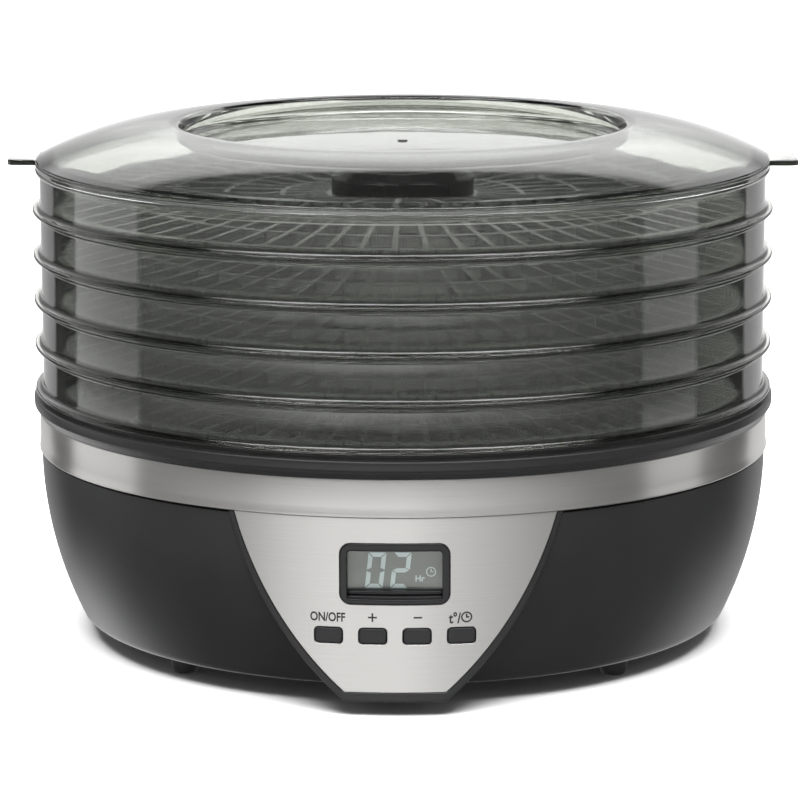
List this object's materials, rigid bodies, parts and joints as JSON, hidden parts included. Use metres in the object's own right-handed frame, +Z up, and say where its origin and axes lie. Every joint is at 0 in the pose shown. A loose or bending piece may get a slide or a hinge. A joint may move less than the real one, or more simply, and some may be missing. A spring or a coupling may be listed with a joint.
{
  "type": "food dehydrator",
  "caption": "Round food dehydrator with stacking smoked trays, a domed clear lid and a fan and heater base with a digital panel.",
  "frame": {"origin": "centre of the footprint on the surface that the feet stand on", "axes": "+X to the right past the lid tabs, +Y to the rear, +Z up; the control panel faces -Y"},
  "size_m": [0.3406, 0.322, 0.2214],
  "materials": {
    "clear_lid": "clear grey tinted gloss plastic",
    "smoked_plastic": "smoked transparent gloss plastic",
    "smoked_grid": "dark smoked plastic bars",
    "black_plastic": "fine grained matte black",
    "black_gloss": "satin black",
    "button_plastic": "satin black",
    "brushed_steel": "fine horizontal brushing",
    "rubber": "matte",
    "display": "clear pane over a grey display",
    "white_plastic": "satin",
    "grey_plastic": "heat resistant satin",
    "circuit_board": "lacquered",
    "component_plastic": "gloss",
    "motor_steel": "stacked laminations",
    "copper": "enamelled winding",
    "bright_metal": "bright plated",
    "bronze": "sintered",
    "mica": "flaky",
    "wire_jacket": "smooth"
  },
  "bodies": {
    "base": {"top_cover": "black_plastic", "outlet_grille": "black_plastic", "steel_band": "brushed_steel", "steel_panel": "brushed_steel", "panel_housing": "black_plastic", "bowl_housing": "black_plastic", "inlet_grille": "black_plastic", "rubber_feet": "rubber", "display_bezel": "black_gloss", "display_glass": "display", "display_module": "white_plastic", "button_switches": "black_gloss", "control_board": "circuit_board", "power_board": "circuit_board", "board_parts": "component_plastic", "terminal_block": "white_plastic", "motor_stator": "motor_steel", "motor_coil": "copper", "motor_brackets": "bright_metal", "motor_bearings": "bronze", "fan_duct": "grey_plastic", "heater_frame": "mica", "heater_coil": "bright_metal", "heat_shield": "bright_metal", "thermostat": "white_plastic", "thermal_fuse": "bright_metal", "cord_gland": "rubber", "wiring": "wire_jacket", "shell_screws": "bright_metal", "grille_screws": "bright_metal", "duct_screws": "bright_metal", "board_screws": "bright_metal", "motor_screws": "bright_metal"},
    "fan": {"motor_rotor": "motor_steel", "motor_shaft": "bright_metal", "fan_impeller": "white_plastic"},
    "tray_1": {"tray_1_wall": "smoked_plastic", "tray_1_grid": "smoked_grid", "tray_1_hub": "smoked_grid"},
    "tray_2": {"tray_2_wall": "smoked_plastic", "tray_2_grid": "smoked_grid", "tray_2_hub": "smoked_grid"},
    "tray_3": {"tray_3_wall": "smoked_plastic", "tray_3_grid": "smoked_grid", "tray_3_hub": "smoked_grid"},
    "tray_4": {"tray_4_wall": "smoked_plastic", "tray_4_grid": "smoked_grid", "tray_4_hub": "smoked_grid"},
    "tray_5": {"tray_5_wall": "smoked_plastic", "tray_5_grid": "smoked_grid", "tray_5_hub": "smoked_grid"},
    "lid": {"lid": "clear_lid"},
    "button_power": {"button_power": "button_plastic"},
    "button_plus": {"button_plus": "button_plastic"},
    "button_minus": {"button_minus": "button_plastic"},
    "button_mode": {"button_mode": "button_plastic"}
  },
  "joints": [
    {"name": "fan_spin", "type": "hinge", "parent": "base", "child": "fan", "pos_m": [0, 0, 0.05], "axis": [0, 0, 1], "continuous": true},
    {"name": "tray_1_lift", "type": "slide", "parent": "base", "child": "tray_1", "axis": [0, 0, 1], "range_m": [0, 0.05]},
    {"name": "tray_2_lift", "type": "slide", "parent": "tray_1", "child": "tray_2", "axis": [0, 0, 1], "range_m": [0, 0.05]},
    {"name": "tray_3_lift", "type": "slide", "parent": "tray_2", "child": "tray_3", "axis": [0, 0, 1], "range_m": [0, 0.05]},
    {"name": "tray_4_lift", "type": "slide", "parent": "tray_3", "child": "tray_4", "axis": [0, 0, 1], "range_m": [0, 0.05]},
    {"name": "tray_5_lift", "type": "slide", "parent": "tray_4", "child": "tray_5", "axis": [0, 0, 1], "range_m": [0, 0.05]},
    {"name": "lid_lift", "type": "slide", "parent": "tray_5", "child": "lid", "axis": [0, 0, 1], "range_m": [0, 0.08]},
    {"name": "button_power_press", "type": "slide", "parent": "base", "child": "button_power", "axis": [0, 1, 0], "range_m": [0, 0.0008], "stiffness_N_per_m": 1500, "springref_m": -0.001},
    {"name": "button_plus_press", "type": "slide", "parent": "base", "child": "button_plus", "axis": [0, 1, 0], "range_m": [0, 0.0008], "stiffness_N_per_m": 1500, "springref_m": -0.001},
    {"name": "button_minus_press", "type": "slide", "parent": "base", "child": "button_minus", "axis": [0, 1, 0], "range_m": [0, 0.0008], "stiffness_N_per_m": 1500, "springref_m": -0.001},
    {"name": "button_mode_press", "type": "slide", "parent": "base", "child": "button_mode", "axis": [0, 1, 0], "range_m": [0, 0.0008], "stiffness_N_per_m": 1500, "springref_m": -0.001}
  ]
}
